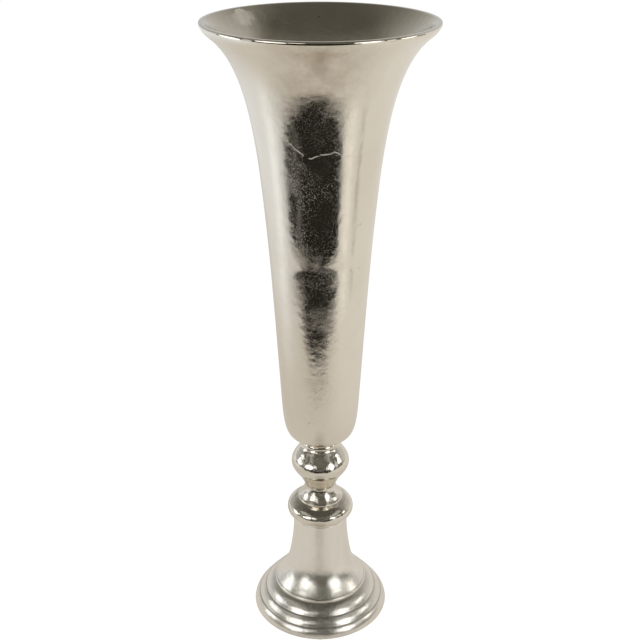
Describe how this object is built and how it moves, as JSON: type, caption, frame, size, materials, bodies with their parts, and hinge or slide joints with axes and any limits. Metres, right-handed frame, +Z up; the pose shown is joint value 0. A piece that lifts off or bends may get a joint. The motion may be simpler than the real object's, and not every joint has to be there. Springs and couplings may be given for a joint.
{
  "type": "trumpet vase",
  "caption": "Tall cast metal trumpet vase: a slender bowl flaring to a wide lip, on turned knops and a stepped hollow foot, clamped together by a hidden tie rod.",
  "frame": {"origin": "centre of the foot's footprint, on the surface that the vase stands on", "axes": "+Z up along the vase's axis, from the foot to the lip"},
  "size_m": [0.2698, 0.2698, 0.8],
  "materials": {
    "satin_cast_metal": "satin plated casting with a fine cast grain",
    "polished_cast_metal": "turned and polished plated casting",
    "zinc_steel": "zinc plated",
    "seal_rubber": "matt",
    "pad_felt": "felt"
  },
  "bodies": {
    "root": {"trumpet_bowl": "satin_cast_metal", "foot": "satin_cast_metal", "neck_ring": "polished_cast_metal", "upper_knop": "polished_cast_metal", "lower_knop": "polished_cast_metal", "stem_collar": "polished_cast_metal", "tie_rod": "zinc_steel", "bowl_washer": "zinc_steel", "dome_nut": "zinc_steel", "foot_washer": "zinc_steel", "spring_washer": "zinc_steel", "hex_nut": "zinc_steel", "bowl_seal": "seal_rubber", "felt_pads": "pad_felt"}
  },
  "joints": []
}
